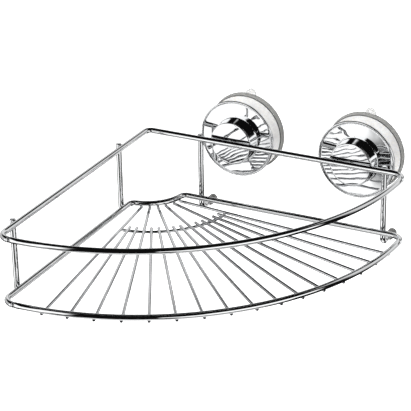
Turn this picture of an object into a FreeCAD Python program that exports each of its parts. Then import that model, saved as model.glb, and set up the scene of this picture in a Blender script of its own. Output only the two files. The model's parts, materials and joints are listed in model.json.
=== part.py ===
import FreeCAD, Part
import math
import os

import Sketcher
from FreeCAD import Placement, Rotation, Vector

# Corner shower caddy: a welded wire basket that hangs on two twist-lock suction cups.
#
# Row frame: X runs along the wall that the cups stick to, away from the corner, +Y points into
# that wall and +Z up. The origin lies on the wall's face, midway between the two cup axes.
# The basket is drawn about the sharp corner of its rails, with one side along +X and the other
# along -Y. Each cup is drawn about its own axis, with local +Z pointing from the wall to the room.

SHEET = "Dimensions"

# Driving dimensions in millimetres, and degrees where the name says so.
DIMENSIONS = {
    # rails
    "side_length": 240.0,
    "rail_radius": 2.5,
    "rail_rise": 56.0,
    "arc_inset": 8.9,
    "apex_bend": 6.0,
    "front_bend": 11.0,
    "rear_arc_radius": 33.5,
    "rear_bend": 6.0,
    # posts
    "post_radius": 2.5,
    "weld_bite": 0.25,
    "open_side_rear_post_at": 43.0,
    "open_side_front_post_at": 211.0,
    "cup_side_left_post_at": 49.5,
    "cup_side_right_post_at": 220.0,
    "hook_drop": 11.4,
    "hook_bend": 6.0,
    "hook_end_gap": 2.0,
    "post_round": 0.9,
    # shelf
    "shelf_wire_radius": 1.3,
    "fan_from_cup_side": 5.1,
    "fan_from_open_side": 7.4,
    "first_wire_degrees": 83.6,
    "fan_pitch_degrees": 5.2,
    "short_wire_lead": 3.0,
    "wire_chamfer": 0.3,
    "cross_from_cup_side": 2.6,
    "cross_from_open_side": 6.8,
    "cross_wire_radius": 73.6,
    "cross_start_degrees": 84.0,
    "cross_swing_degrees": 77.2,
    # place on the wall
    "wall_gap": 38.0,
    "cup_from_corner": 134.3,
    "half_cup_spacing": 55.5,
    "hang_drop": 1.6,
    # hanging pins and wall bumpers
    "pin_radius": 1.9,
    "pin_end_gap": 1.0,
    "pin_tip_level": 20.5,
    "pin_chamfer": 0.6,
    "bumper_radius": 3.8,
    "bumper_length": 9.5,
    "bumper_end_level": 9.4,
    "bumper_round": 0.9,
    # suction pad, levels measured from the wall
    "lip_foot_radius": 35.5,
    "lip_top_radius": 33.8,
    "lip_inner_radius": 27.5,
    "lip_height": 4.8,
    "web_low": 1.4,
    "web_high": 3.0,
    "web_thickness": 1.5,
    "pad_hub_radius": 12.5,
    "pad_hub_top": 8.0,
    "tab_half_width": 4.6,
    "tab_reach": 40.4,
    "tab_low": 0.4,
    "tab_thickness": 1.6,
    "tab_overlap": 3.0,
    "tab_angle_degrees": 83.4,
    # pad stud
    "stud_plate_radius": 9.8,
    "stud_plate_low": 4.6,
    "stud_plate_top": 6.2,
    "shank_half_width": 5.6,
    "shank_core_radius": 5.0,
    "shank_top": 17.8,
    "stud_radius": 5.2,
    "stud_top": 30.0,
    "socket_floor": 17.0,
    "fit_gap": 0.06,
    "guide_gap": 0.2,
    # cup housing and washer
    "housing_foot_radius": 33.4,
    "housing_top_radius": 32.6,
    "housing_foot": 5.1,
    "housing_top": 18.2,
    "housing_wall": 1.8,
    "housing_round": 1.2,
    "collar_radius": 10.0,
    "collar_low": 11.8,
    "washer_inner_radius": 6.8,
    "washer_outer_radius": 15.0,
    "washer_thickness": 1.0,
    # twist dial
    "dial_radius": 34.5,
    "dial_lip_width": 1.8,
    "dial_lip_rise": 0.7,
    "dial_lip_round": 0.45,
    "brim_edge_level": 21.05,
    "brim_root_level": 21.95,
    "brim_plate": 1.3,
    "boss_root_radius": 19.7,
    "boss_face_radius": 19.1,
    "boss_face_level": 34.1,
    "boss_crown_level": 35.0,
    "boss_round": 0.9,
    "boss_wall": 1.8,
    "dial_hub_radius": 9.6,
    "pin_hole_radius": 2.6,
    # lock nut pressed into the dial's hub
    "nut_radius": 7.4,
    "nut_low": 19.6,
    "nut_top": 28.6,
}

WIRE_COUNT = 16
LONG_WIRE_STEP = 3
TINY = 1e-6
FACING_ROOM = Rotation(Vector(1, 0, 0), 90)

doc = FreeCAD.newDocument("CornerCaddy")
sheet = doc.addObject("Spreadsheet::Sheet", SHEET)
for row, (alias, amount) in enumerate(DIMENSIONS.items(), start=1):
    sheet.set(f"A{row}", str(amount))
    sheet.setAlias(f"A{row}", alias)
doc.recompute()

sub_parts = []


# ---------------------------------------------------------------- helpers


def cell(alias):
    """The number that a cell of the sheet holds."""
    return float(sheet.get(alias))


def bound(text):
    """An expression on the sheet, from words and signs such as 'lip_height - 1.5'."""
    return " ".join(f"{SHEET}.{word}" if word in DIMENSIONS else word for word in text.split())


def total(text):
    """The value of cells and numbers joined by plus and minus signs."""
    value = 0.0
    sign = 1.0
    for word in text.split():
        if word in "+-":
            sign = 1.0 if word == "+" else -1.0
            continue
        value += sign * (cell(word) if word in DIMENSIONS else float(word))
        sign = 1.0
    return value


def new_body(label, placement=None):
    """A PartDesign body that becomes the node of that name."""
    body = doc.addObject("PartDesign::Body", "Body_" + label)
    body.Label = label
    body.Placement = placement or Placement()
    sub_parts.append(body)
    return body


def new_sketch(body, name, plane, offset=None):
    """A sketch on one of the body's origin planes, moved along its normal by the offset."""
    sketch = body.newObject("Sketcher::SketchObject", name + "_" + body.Label)
    support = next(f for f in body.Origin.OriginFeatures if f.Role == plane)
    sketch.AttachmentSupport = [(support, "")]
    sketch.MapMode = "FlatFace"
    if offset:
        sketch.setExpression("AttachmentOffset.Base.z", bound(offset))
    return sketch


def name_size(sketch, constraint, name, expression):
    """Adds a dimension to a sketch and ties it to the sheet."""
    index = sketch.addConstraint(constraint)
    sketch.renameConstraint(index, name)
    sketch.setExpression("Constraints." + name, expression)


def draw_outline(sketch, corners):
    """A closed polygon; each corner is a pair of texts over the sheet's cells."""
    points = [Vector(total(x), total(y), 0) for x, y in corners]
    count = len(points)
    for i, point in enumerate(points):
        sketch.addGeometry(Part.LineSegment(point, points[(i + 1) % count]), False)
    for i in range(count):
        sketch.addConstraint(Sketcher.Constraint("Coincident", i, 2, (i + 1) % count, 1))
    for i, (x, y) in enumerate(corners):
        across = Sketcher.Constraint("DistanceX", -1, 1, i, 1, points[i].x)
        name_size(sketch, across, f"across_{i}", bound(x))
        along = Sketcher.Constraint("DistanceY", -1, 1, i, 1, points[i].y)
        name_size(sketch, along, f"along_{i}", bound(y))


def draw_circle(sketch, radius, centre_x="0", centre_y="0"):
    """A circle whose radius and centre follow the sheet."""
    centre = Vector(total(centre_x), total(centre_y), 0)
    ring = sketch.addGeometry(Part.Circle(centre, Vector(0, 0, 1), total(radius)), False)
    size = Sketcher.Constraint("Radius", ring, total(radius))
    name_size(sketch, size, f"radius_{ring}", bound(radius))
    across = Sketcher.Constraint("DistanceX", -1, 1, ring, 3, centre.x)
    name_size(sketch, across, f"across_{ring}", bound(centre_x))
    along = Sketcher.Constraint("DistanceY", -1, 1, ring, 3, centre.y)
    name_size(sketch, along, f"along_{ring}", bound(centre_y))


def draw_square(sketch, half):
    """A square centred on the sketch's origin."""
    low = "0 - " + half.replace("+", "-")
    draw_outline(sketch, [(low, low), (half, low), (half, half), (low, half)])


def extrude(body, kind, sketch, length, reverse=False, both_ways=False):
    """A Pad or Pocket whose length follows the sheet."""
    feature = body.newObject("PartDesign::" + kind, kind + "_" + sketch.Name)
    feature.Profile = sketch
    feature.setExpression("Length", bound(length))
    feature.Reversed = reverse
    feature.Midplane = both_ways
    return feature


def revolve(body, corners, kind="Revolution", tag="Section"):
    """A turned shape; corners are (radius, level) pairs about the body's local Z axis."""
    sketch = new_sketch(body, tag, "XZ_Plane")
    draw_outline(sketch, corners)
    feature = body.newObject("PartDesign::" + kind, kind + "_" + sketch.Name)
    feature.Profile = sketch
    feature.ReferenceAxis = (sketch, ["V_Axis"])
    feature.Angle = 360.0
    return feature


def sweep(body, path, profile):
    """A wire of the profile's section along the path."""
    pipe = body.newObject("PartDesign::AdditivePipe", "Sweep_" + body.Label)
    pipe.Profile = profile
    pipe.Spine = path
    pipe.Mode = "Frenet"
    return pipe


def round_edges(body, base, radius, wanted, kind="Fillet"):
    """Rounds or chamfers the circular edges of the base that the test picks."""
    doc.recompute()
    names = []
    for number, edge in enumerate(base.Shape.Edges, start=1):
        is_ring = edge.Curve.TypeId == "Part::GeomCircle"
        if is_ring and wanted(edge.Curve.Center, edge.Curve.Radius):
            names.append(f"Edge{number}")
    if not names:
        raise RuntimeError(f"{body.Label} has no edge to round")
    feature = body.newObject("PartDesign::" + kind, kind + "_" + base.Name)
    feature.Base = (base, names)
    size = "Radius" if kind == "Fillet" else "Size"
    feature.setExpression(size, bound(radius))
    return feature


def is_ring_of(alias, level=None):
    """A test for the circular edges of that radius, at that level if one is given."""
    def picks(centre, radius):
        at_level = level is None or abs(centre.z - total(level)) < TINY
        return at_level and abs(radius - cell(alias)) < TINY
    return picks


def cup_place():
    """A cup's placement: local Z to the room, local X towards the peeling tab."""
    return Placement(Vector(), FACING_ROOM * Rotation(Vector(0, 0, 1), cell("tab_angle_degrees")))


def bind_place(item, x, y, z):
    """Ties the base point of a placement to the sheet."""
    for axis, text in (("x", x), ("y", y), ("z", z)):
        item.setExpression("Placement.Base." + axis, bound(text))


# ---------------------------------------------------------------- basket

CORNER_X = "0 - cup_from_corner"
CORNER_Y = "0 - wall_gap"
TOP_LEVEL = "hang_drop"
BOTTOM_LEVEL = "hang_drop - rail_rise"
OPEN_SIDE_POST_X = "0 - cup_from_corner - rail_radius - post_radius + weld_bite"
CUP_SIDE_POST_Y = "0 - wall_gap + rail_radius + post_radius - weld_bite"
SHELF_LEVEL = "hang_drop - rail_rise - rail_radius - shelf_wire_radius + weld_bite"
CROSS_WIRE_LEVEL = SHELF_LEVEL + " - 2 * shelf_wire_radius + weld_bite"
FAN_X = "0 - cup_from_corner + fan_from_open_side"
FAN_Y = "0 - wall_gap - fan_from_cup_side"
CROSS_X = "0 - cup_from_corner + cross_from_open_side"
CROSS_Y = "0 - wall_gap - cross_from_cup_side"
HOOK_REACH = "wall_gap - rail_radius - post_radius + weld_bite - bumper_end_level - hook_end_gap"
FRONT_RADIUS = bound("sqrt( ( side_length - arc_inset ) ^ 2 + arc_inset ^ 2 )")


def add_arc(sketch, centre, radius, start, end):
    """An arc that runs anticlockwise from the start angle to the end angle."""
    circle = Part.Circle(centre, Vector(0, 0, 1), radius)
    return sketch.addGeometry(Part.ArcOfCircle(circle, math.radians(start), math.radians(end)))


def rail_path(sketch, rear_sizes):
    """The loop of a rail: two straight sides, the front arc and the bends between them.

    rear_sizes is None for a plain bend at the corner, and else names the radii of the rear
    arc, which is centred on the corner, and of the bends at its ends.
    """
    inset = cell("arc_inset")
    bend = cell("front_bend")
    front_radius = math.hypot(cell("side_length") - inset, inset)
    side_end = inset + math.sqrt((front_radius - bend) ** 2 - (bend - inset) ** 2)
    turn = math.degrees(math.atan2(bend - inset, side_end - inset))
    side_start = cell("apex_bend")
    if rear_sizes:
        rear, rear_bend = (cell(name) for name in rear_sizes)
        side_start = math.sqrt(rear**2 + 2 * rear * rear_bend)
        rear_turn = math.degrees(math.atan2(rear_bend, side_start))

    line = Part.LineSegment
    left = sketch.addGeometry(line(Vector(0, -side_start, 0), Vector(0, -side_end, 0)))
    left_bend = add_arc(sketch, Vector(bend, -side_end, 0), bend, 180, 270 - turn)
    front = add_arc(sketch, Vector(inset, -inset, 0), front_radius, -90 - turn, turn)
    right_bend = add_arc(sketch, Vector(side_end, -bend, 0), bend, turn, 90)
    right = sketch.addGeometry(line(Vector(side_end, 0, 0), Vector(side_start, 0, 0)))
    chain = [(left, 2, left_bend, 1), (left_bend, 2, front, 1), (front, 2, right_bend, 1)]
    chain.append((right_bend, 2, right, 1))
    radii = {left_bend: "front_bend", right_bend: "front_bend"}
    if rear_sizes:
        near = Vector(side_start, -rear_bend, 0)
        far = Vector(rear_bend, -side_start, 0)
        right_turn = add_arc(sketch, near, rear_bend, 90, 180 - rear_turn)
        rear_arc = add_arc(sketch, Vector(), rear, -90 + rear_turn, -rear_turn)
        left_turn = add_arc(sketch, far, rear_bend, 90 + rear_turn, 180)
        chain += [(right, 2, right_turn, 1), (right_turn, 2, rear_arc, 2)]
        chain += [(rear_arc, 1, left_turn, 1), (left_turn, 2, left, 1)]
        radii[rear_arc] = rear_sizes[0]
        radii[right_turn] = rear_sizes[1]
        radii[left_turn] = rear_sizes[1]
        sketch.addConstraint(Sketcher.Constraint("Coincident", rear_arc, 3, -1, 1))
    else:
        apex = add_arc(sketch, Vector(side_start, -side_start, 0), side_start, 90, 180)
        chain += [(right, 2, apex, 1), (apex, 2, left, 1)]
        radii[apex] = "apex_bend"

    for joint in chain:
        sketch.addConstraint(Sketcher.Constraint("Tangent", *joint))
    for side, axis in ((left, -2), (right, -1)):
        sketch.addConstraint(Sketcher.Constraint("PointOnObject", side, 1, axis))
        sketch.addConstraint(Sketcher.Constraint("PointOnObject", side, 2, axis))
    for arc, alias in radii.items():
        size = Sketcher.Constraint("Radius", arc, cell(alias))
        name_size(sketch, size, f"radius_{arc}", bound(alias))
    size = Sketcher.Constraint("Radius", front, front_radius)
    name_size(sketch, size, "front_radius", FRONT_RADIUS)
    across = Sketcher.Constraint("DistanceX", -1, 1, front, 3, inset)
    name_size(sketch, across, "centre_across", bound("arc_inset"))
    along = Sketcher.Constraint("DistanceY", front, 3, -1, 1, inset)
    name_size(sketch, along, "centre_along", bound("arc_inset"))


def make_rail(label, level, rear_sizes, start):
    """One rail, bent from a single wire and closed by a butt weld."""
    body = new_body(label)
    bind_place(body, CORNER_X, CORNER_Y, level)
    path = new_sketch(body, "Path", "XY_Plane")
    rail_path(path, rear_sizes)
    profile = new_sketch(body, "Profile", "XZ_Plane", start)
    draw_circle(profile, "rail_radius")
    sweep(body, path, profile)


def make_straight_post(label, at):
    """A post behind the rails of the side without cups, level with the rails' top and base."""
    body = new_body(label)
    bind_place(body, OPEN_SIDE_POST_X, f"{CORNER_Y} - {at}", BOTTOM_LEVEL + " - rail_radius")
    sketch = new_sketch(body, "Profile", "XY_Plane")
    draw_circle(sketch, "post_radius")
    post = extrude(body, "Pad", sketch, "rail_rise + 2 * rail_radius")
    round_edges(body, post, "post_round", lambda centre, radius: True)


def make_hooked_post(label, at):
    """A post behind the rails of the cup side; its foot turns to the wall below the shelf."""
    body = new_body(label)
    bind_place(body, f"{CORNER_X} + {at}", CUP_SIDE_POST_Y, BOTTOM_LEVEL)
    path = new_sketch(body, "Path", "YZ_Plane")
    bend = cell("hook_bend")
    drop = cell("hook_drop")
    top = total("rail_rise + rail_radius")
    reach = total(HOOK_REACH)
    line = Part.LineSegment
    shaft = path.addGeometry(line(Vector(0, top, 0), Vector(0, bend - drop, 0)))
    turn = add_arc(path, Vector(bend, bend - drop, 0), bend, 180, 270)
    foot = path.addGeometry(line(Vector(bend, -drop, 0), Vector(reach, -drop, 0)))
    path.addConstraint(Sketcher.Constraint("Tangent", shaft, 2, turn, 1))
    path.addConstraint(Sketcher.Constraint("Tangent", turn, 2, foot, 1))
    path.addConstraint(Sketcher.Constraint("PointOnObject", shaft, 1, -2))
    path.addConstraint(Sketcher.Constraint("PointOnObject", shaft, 2, -2))
    path.addConstraint(Sketcher.Constraint("Horizontal", foot))
    size = Sketcher.Constraint("Radius", turn, bend)
    name_size(path, size, "bend", bound("hook_bend"))
    height = Sketcher.Constraint("DistanceY", -1, 1, shaft, 1, top)
    name_size(path, height, "top", bound("rail_rise + rail_radius"))
    depth = Sketcher.Constraint("DistanceY", foot, 1, -1, 1, drop)
    name_size(path, depth, "drop", bound("hook_drop"))
    length = Sketcher.Constraint("DistanceX", -1, 1, foot, 2, reach)
    name_size(path, length, "reach", bound(HOOK_REACH))
    profile = new_sketch(body, "Profile", "XY_Plane", "rail_rise + rail_radius")
    draw_circle(profile, "post_radius")
    wire = sweep(body, path, profile)
    round_edges(body, wire, "post_round", lambda centre, radius: centre.z > cell("rail_rise"))


def make_wall_bumper(label, at):
    """A soft cap on the end of a hooked post that meets the wall before the wire does."""
    body = new_body(label, Placement(Vector(), FACING_ROOM))
    bind_place(body, f"{CORNER_X} + {at}", "0", BOTTOM_LEVEL + " - hook_drop")
    mouth = "bumper_end_level + bumper_length"
    wire_end = "bumper_end_level + hook_end_gap"
    section = revolve(body, [
        ("0", "bumper_end_level"),
        ("bumper_radius", "bumper_end_level"),
        ("bumper_radius", mouth),
        ("post_radius + fit_gap", mouth),
        ("post_radius + fit_gap", wire_end),
        ("0", wire_end),
    ])
    round_edges(body, section, "bumper_round", is_ring_of("bumper_radius"))


def reach_text(from_open_side, from_cup_side, radius_squared, degrees):
    """How far a circle lies from the fan's centre along a shelf wire at that angle.

    The circle's centre is given by its distances from the rails of the two straight sides.
    """
    across = f"( {from_open_side} - fan_from_open_side )"
    away = f"( {from_cup_side} - fan_from_cup_side )"
    along = f"( {across} * cos( {degrees} * 1 deg ) + {away} * sin( {degrees} * 1 deg ) )"
    return f"( {along} + sqrt( {radius_squared} - {across} ^ 2 - {away} ^ 2 + {along} ^ 2 ) )"


def make_shelf_wire(number):
    """One straight wire of the fan under the bottom rail.

    Every third wire starts under the rear arc; the others start just behind the cross wire.
    """
    body = new_body(f"shelf_wire_{number:02d}")
    angle = f"( first_wire_degrees - {number - 1} * fan_pitch_degrees )"
    bind_place(body, FAN_X, FAN_Y, SHELF_LEVEL)
    body.setExpression("Placement.Rotation.Angle", bound(f"0 deg - {angle} * 1 deg"))
    front_squared = "( ( side_length - arc_inset ) ^ 2 + arc_inset ^ 2 )"
    front = reach_text("arc_inset", "arc_inset", front_squared, angle)
    if number % LONG_WIRE_STEP == 1:
        rear = reach_text("0", "0", "rear_arc_radius ^ 2", angle)
    else:
        lead_squared = "( cross_wire_radius - short_wire_lead ) ^ 2"
        rear = reach_text("cross_from_open_side", "cross_from_cup_side", lead_squared, angle)
    profile = new_sketch(body, "Profile", "YZ_Plane", rear)
    draw_circle(profile, "shelf_wire_radius")
    wire = extrude(body, "Pad", profile, f"{front} - {rear}")
    round_edges(body, wire, "wire_chamfer", is_ring_of("shelf_wire_radius"), "Chamfer")


def make_cross_wire():
    """The bent wire under the fan that carries the short wires' rear ends."""
    body = new_body("shelf_cross_wire")
    bind_place(body, CROSS_X, CROSS_Y, CROSS_WIRE_LEVEL)
    body.setExpression("Placement.Rotation.Angle", bound("( 0 - cross_start_degrees ) * 1 deg"))
    radius = cell("cross_wire_radius")
    swing = cell("cross_swing_degrees")
    path = new_sketch(body, "Path", "XY_Plane")
    arc = add_arc(path, Vector(), radius, 0, swing)
    path.addConstraint(Sketcher.Constraint("Coincident", arc, 3, -1, 1))
    path.addConstraint(Sketcher.Constraint("PointOnObject", arc, 1, -1))
    size = Sketcher.Constraint("Radius", arc, radius)
    name_size(path, size, "radius", bound("cross_wire_radius"))
    turn = Sketcher.Constraint("Angle", arc, math.radians(swing))
    name_size(path, turn, "swing", bound("cross_swing_degrees * 1 deg"))
    profile = new_sketch(body, "Profile", "XZ_Plane")
    draw_circle(profile, "shelf_wire_radius", "cross_wire_radius")
    sweep(body, path, profile)


def make_hanging_pin(label, cup_x):
    """A short pin welded to the back of the top rail; a cup's stud slides over it."""
    body = new_body(label, Placement(Vector(), FACING_ROOM))
    bind_place(body, cup_x, "0", "0")
    revolve(body, [
        ("0", "pin_tip_level"),
        ("pin_radius - pin_chamfer", "pin_tip_level"),
        ("pin_radius", "pin_tip_level + pin_chamfer"),
        ("pin_radius", "wall_gap - pin_end_gap"),
        ("0", "wall_gap - pin_end_gap"),
    ])
    saddle = new_sketch(body, "Saddle", "YZ_Plane")
    draw_circle(saddle, "rail_radius", "hang_drop", "wall_gap")
    extrude(body, "Pocket", saddle, "4 * pin_radius", both_ways=True)


# ---------------------------------------------------------------- suction cups


def make_suction_pad(label, cup_x):
    """The clear pad: a lip on the wall, a thin web, a hub round the stud and a peeling tab."""
    body = new_body(label, cup_place())
    bind_place(body, cup_x, "0", "0")
    web_edge = "web_low + web_thickness"
    revolve(body, [
        ("0", "web_high"),
        ("pad_hub_radius", "web_high"),
        ("lip_inner_radius", "web_low"),
        ("lip_inner_radius + web_low", "0"),
        ("lip_foot_radius", "0"),
        ("lip_top_radius", "lip_height"),
        ("lip_inner_radius + web_thickness", "lip_height"),
        ("lip_inner_radius", web_edge),
        ("pad_hub_radius", "web_high + web_thickness"),
        ("pad_hub_radius", "pad_hub_top"),
        ("0", "pad_hub_top"),
    ])
    strip = new_sketch(body, "TabStrip", "XY_Plane", "tab_low")
    inner_end = "lip_foot_radius - tab_overlap"
    outer_end = "tab_reach - tab_half_width"
    draw_outline(strip, [
        (inner_end, "0 - tab_half_width"),
        (outer_end, "0 - tab_half_width"),
        (outer_end, "tab_half_width"),
        (inner_end, "tab_half_width"),
    ])
    extrude(body, "Pad", strip, "tab_thickness")
    tip = new_sketch(body, "TabTip", "XY_Plane", "tab_low")
    draw_circle(tip, "tab_half_width", outer_end)
    extrude(body, "Pad", tip, "tab_thickness")
    socket = new_sketch(body, "ShankHole", "XY_Plane", "stud_plate_low - fit_gap")
    draw_square(socket, "shank_half_width + fit_gap")
    extrude(body, "Pocket", socket, "pad_hub_top", reverse=True)
    revolve(body, [
        ("0", "stud_plate_low - fit_gap"),
        ("stud_plate_radius + fit_gap", "stud_plate_low - fit_gap"),
        ("stud_plate_radius + fit_gap", "stud_plate_top + fit_gap"),
        ("0", "stud_plate_top + fit_gap"),
    ], "Groove", "PlateRoom")


def make_pad_stud(label, cup_x):
    """The stud moulded into the pad: a plate, a square shank, a round neck and a socket."""
    body = new_body(label, cup_place())
    bind_place(body, cup_x, "0", "0")
    revolve(body, [
        ("0", "stud_plate_low"),
        ("stud_plate_radius", "stud_plate_low"),
        ("stud_plate_radius", "stud_plate_top"),
        ("shank_core_radius", "stud_plate_top"),
        ("shank_core_radius", "shank_top"),
        ("stud_radius", "shank_top"),
        ("stud_radius", "stud_top"),
        ("pin_radius + fit_gap", "stud_top"),
        ("pin_radius + fit_gap", "socket_floor"),
        ("0", "socket_floor"),
    ])
    shank = new_sketch(body, "Shank", "XY_Plane", "stud_plate_top - fit_gap")
    draw_square(shank, "shank_half_width")
    extrude(body, "Pad", shank, "shank_top - stud_plate_top + fit_gap")
    bore = new_sketch(body, "Socket", "XY_Plane", "socket_floor")
    draw_circle(bore, "pin_radius + fit_gap")
    extrude(body, "Pocket", bore, "stud_top", reverse=True)


def make_cup_housing(label, cup_x):
    """The frosted bell that presses on the pad's lip and guides the stud's square shank."""
    body = new_body(label, cup_place())
    bind_place(body, cup_x, "0", "0")
    bell = revolve(body, [
        ("0", "housing_top"),
        ("housing_top_radius", "housing_top"),
        ("housing_foot_radius", "housing_foot"),
        ("housing_foot_radius - housing_wall", "housing_foot"),
        ("housing_top_radius - housing_wall", "housing_top - housing_wall"),
        ("collar_radius", "housing_top - housing_wall"),
        ("collar_radius", "collar_low"),
        ("0", "collar_low"),
    ])
    top_edge = is_ring_of("housing_top_radius", "housing_top")
    round_edges(body, bell, "housing_round", top_edge)
    guide = new_sketch(body, "Guide", "XY_Plane")
    draw_square(guide, "shank_half_width + guide_gap")
    extrude(body, "Pocket", guide, "housing_top + guide_gap", reverse=True)


def make_thrust_washer(label, cup_x):
    """The slippery ring that the dial turns on."""
    body = new_body(label, cup_place())
    bind_place(body, cup_x, "0", "0")
    revolve(body, [
        ("washer_inner_radius", "housing_top"),
        ("washer_outer_radius", "housing_top"),
        ("washer_outer_radius", "housing_top + washer_thickness"),
        ("washer_inner_radius", "housing_top + washer_thickness"),
    ])


def make_twist_dial(label, cup_x):
    """The plated dial: a thin sloping brim with a rolled lip, a hollow boss and a hub inside it."""
    body = new_body(label, cup_place())
    bind_place(body, cup_x, "0", "0")
    lip_inside = "dial_radius - dial_lip_width"
    lip_top = "brim_edge_level + dial_lip_rise"
    face_inside = "boss_face_level - boss_wall"
    hub_end = "housing_top + washer_thickness"
    section = revolve(body, [
        ("pin_hole_radius", "boss_crown_level"),
        ("boss_face_radius", "boss_face_level"),
        ("boss_root_radius", "brim_root_level"),
        (lip_inside, "brim_edge_level"),
        (lip_inside, lip_top),
        ("dial_radius", lip_top),
        ("dial_radius", "brim_edge_level - brim_plate"),
        ("boss_root_radius", "brim_root_level - brim_plate"),
        ("boss_root_radius - boss_wall", "brim_root_level - brim_plate"),
        ("boss_face_radius - boss_wall", face_inside),
        ("dial_hub_radius", face_inside),
        ("dial_hub_radius", hub_end),
        ("nut_radius", hub_end),
        ("nut_radius", "nut_top"),
        ("stud_radius + guide_gap", "nut_top"),
        ("stud_radius + guide_gap", face_inside),
        ("pin_hole_radius", face_inside),
    ])
    face_edge = is_ring_of("boss_face_radius", "boss_face_level")
    rounded = round_edges(body, section, "boss_round", face_edge)
    lip_edge = is_ring_of("dial_radius", lip_top)
    round_edges(body, rounded, "dial_lip_round", lip_edge)


def make_lock_nut(label, cup_x):
    """The insert pressed into the dial's hub that runs on the stud."""
    body = new_body(label, cup_place())
    bind_place(body, cup_x, "0", "0")
    revolve(body, [
        ("stud_radius + fit_gap", "nut_low"),
        ("nut_radius", "nut_low"),
        ("nut_radius", "nut_top"),
        ("stud_radius + fit_gap", "nut_top"),
    ])


# ---------------------------------------------------------------- assembly

make_rail("top_rail", TOP_LEVEL, None, "apex_bend")
rear_start = "sqrt( rear_arc_radius ^ 2 + 2 * rear_arc_radius * rear_bend )"
make_rail("bottom_rail", BOTTOM_LEVEL, ("rear_arc_radius", "rear_bend"), rear_start)
make_straight_post("open_side_rear_post", "open_side_rear_post_at")
make_straight_post("open_side_front_post", "open_side_front_post_at")
for side in ("left", "right"):
    post_at = f"cup_side_{side}_post_at"
    cup_sign = "0 - half_cup_spacing" if side == "left" else "half_cup_spacing"
    make_hooked_post(f"cup_side_{side}_post", post_at)
    make_wall_bumper(f"{side}_wall_bumper", post_at)
    make_hanging_pin(f"{side}_hanging_pin", cup_sign)
for wire_number in range(1, WIRE_COUNT + 1):
    make_shelf_wire(wire_number)
make_cross_wire()
for side in ("left", "right"):
    cup_sign = "0 - half_cup_spacing" if side == "left" else "half_cup_spacing"
    make_suction_pad(f"{side}_suction_pad", cup_sign)
    make_pad_stud(f"{side}_pad_stud", cup_sign)
    make_cup_housing(f"{side}_cup_housing", cup_sign)
    make_thrust_washer(f"{side}_thrust_washer", cup_sign)
    make_twist_dial(f"{side}_twist_dial", cup_sign)
    make_lock_nut(f"{side}_lock_nut", cup_sign)

doc.recompute()

for item in doc.Objects:
    if "Invalid" in item.State or "Error" in item.State:
        raise RuntimeError(f"{item.Label} failed: {item.State}")
for sub_part in sub_parts:
    if sub_part.Shape.isNull() or not sub_part.Shape.isValid():
        raise RuntimeError(f"{sub_part.Label} has no valid shape")
    if len(sub_part.Shape.Solids) != 1:
        raise RuntimeError(f"{sub_part.Label} is not one solid")

os.makedirs("parts", exist_ok=True)
for sub_part in sub_parts:
    sub_part.Shape.exportStep(f"parts/{sub_part.Label}.step")
    print(f"{sub_part.Label}: {sub_part.Shape.Volume:.0f} mm3")
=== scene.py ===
import json
import logging
import math
from collections.abc import Callable, Iterable, Sequence
from dataclasses import dataclass, field
from enum import Enum

import bmesh
import bpy
from mathutils import Matrix, Vector, noise

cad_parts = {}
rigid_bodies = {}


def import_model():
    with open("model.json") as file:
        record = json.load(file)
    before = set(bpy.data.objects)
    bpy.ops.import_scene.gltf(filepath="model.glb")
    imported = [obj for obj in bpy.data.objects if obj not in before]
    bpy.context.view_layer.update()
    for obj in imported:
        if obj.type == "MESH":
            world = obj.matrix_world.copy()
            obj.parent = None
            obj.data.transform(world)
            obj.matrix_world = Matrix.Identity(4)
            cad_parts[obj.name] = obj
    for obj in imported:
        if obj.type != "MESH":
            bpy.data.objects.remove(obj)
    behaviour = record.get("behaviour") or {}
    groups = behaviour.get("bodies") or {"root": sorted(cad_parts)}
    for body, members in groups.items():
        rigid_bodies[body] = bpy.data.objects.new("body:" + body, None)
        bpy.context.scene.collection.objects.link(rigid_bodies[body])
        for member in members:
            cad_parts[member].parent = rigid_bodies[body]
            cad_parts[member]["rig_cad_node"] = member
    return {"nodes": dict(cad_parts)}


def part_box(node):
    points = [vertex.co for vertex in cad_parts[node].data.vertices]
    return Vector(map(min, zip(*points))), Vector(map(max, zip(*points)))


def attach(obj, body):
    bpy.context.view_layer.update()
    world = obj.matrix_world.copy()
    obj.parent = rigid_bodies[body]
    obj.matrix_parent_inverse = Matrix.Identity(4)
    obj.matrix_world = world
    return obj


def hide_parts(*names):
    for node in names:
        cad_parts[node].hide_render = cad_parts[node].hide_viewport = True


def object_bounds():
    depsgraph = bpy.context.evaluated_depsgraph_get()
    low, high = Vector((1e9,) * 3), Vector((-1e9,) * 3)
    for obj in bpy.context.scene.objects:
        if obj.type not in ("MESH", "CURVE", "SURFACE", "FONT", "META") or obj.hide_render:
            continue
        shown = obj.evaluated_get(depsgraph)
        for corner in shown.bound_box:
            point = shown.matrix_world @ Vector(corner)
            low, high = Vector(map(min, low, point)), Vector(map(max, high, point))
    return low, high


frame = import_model()
CAD_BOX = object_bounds()

log = logging.getLogger("corner_caddy")

Point = tuple[float, float]
Level = tuple[float, float]


# ------------------------------------------------------------------ small helpers


def srgb(code: str) -> tuple[float, float, float, float]:
    """Turns an sRGB hex colour into the linear colour that the shaders take.

    Args:
        code: six hex digits, such as "E8E9EA".

    Returns:
        Linear red, green, blue and an alpha of 1.
    """
    parts = [int(code[i:i + 2], 16) / 255 for i in (0, 2, 4)]
    linear = [c / 12.92 if c <= 0.04045 else ((c + 0.055) / 1.055) ** 2.4 for c in parts]
    return (linear[0], linear[1], linear[2], 1.0)


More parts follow.
